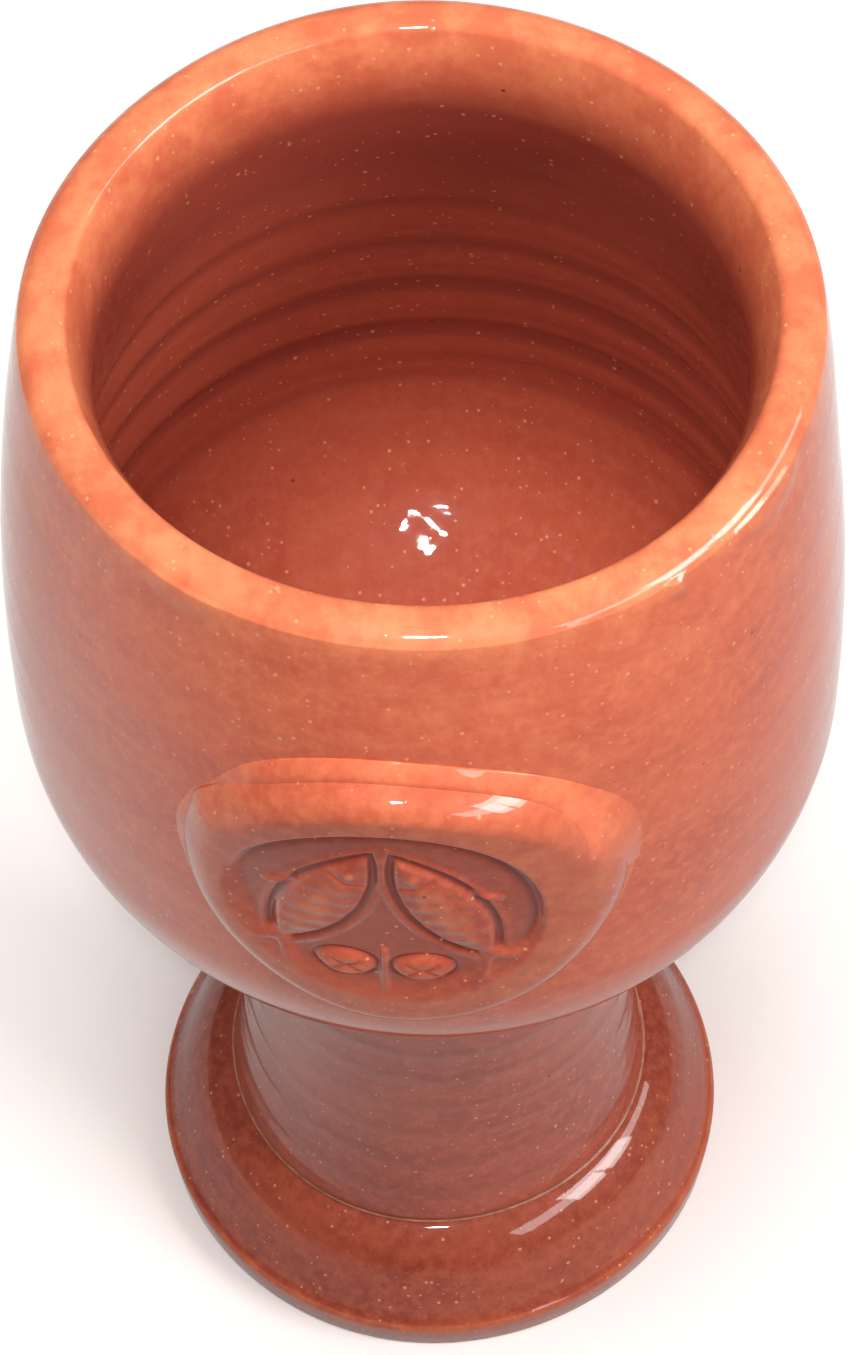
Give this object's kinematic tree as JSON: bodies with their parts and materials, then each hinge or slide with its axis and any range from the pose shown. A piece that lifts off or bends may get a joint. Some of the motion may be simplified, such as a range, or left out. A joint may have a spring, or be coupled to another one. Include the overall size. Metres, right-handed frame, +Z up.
{
  "type": "communion chalice",
  "caption": "Hand-thrown glazed red clay chalice: a barrel bowl with a rounded lip on a hollow waisted stem and a flared foot, with a stamped medallion on the front.",
  "frame": {"origin": "centre of the foot's standing ring, on the table", "axes": "+Z up through the bowl; the medallion is on the front, towards -Y; +X is to the right seen from the front"},
  "size_m": [0.0918, 0.0939, 0.1786],
  "materials": {
    "bowl_glaze": "clear gloss glaze over red earthenware, pale grog specks, lighter on the lip",
    "stem_glaze": "clear gloss glaze over red earthenware",
    "foot_glaze": "clear gloss glaze over red earthenware, bare clay on the standing ring",
    "medallion_glaze": "clear gloss glaze, pooled darker in the stamped lines",
    "coil_glaze": "clear gloss glaze over red earthenware",
    "fired_slip": "fired red slip, matt under a thin run of glaze"
  },
  "bodies": {
    "root": {"bowl": "bowl_glaze", "bowl_slip": "fired_slip", "neck_coil": "coil_glaze", "stem": "stem_glaze", "foot_slip": "fired_slip", "foot": "foot_glaze", "medallion_slip": "bowl_glaze", "medallion": "medallion_glaze"}
  },
  "joints": []
}
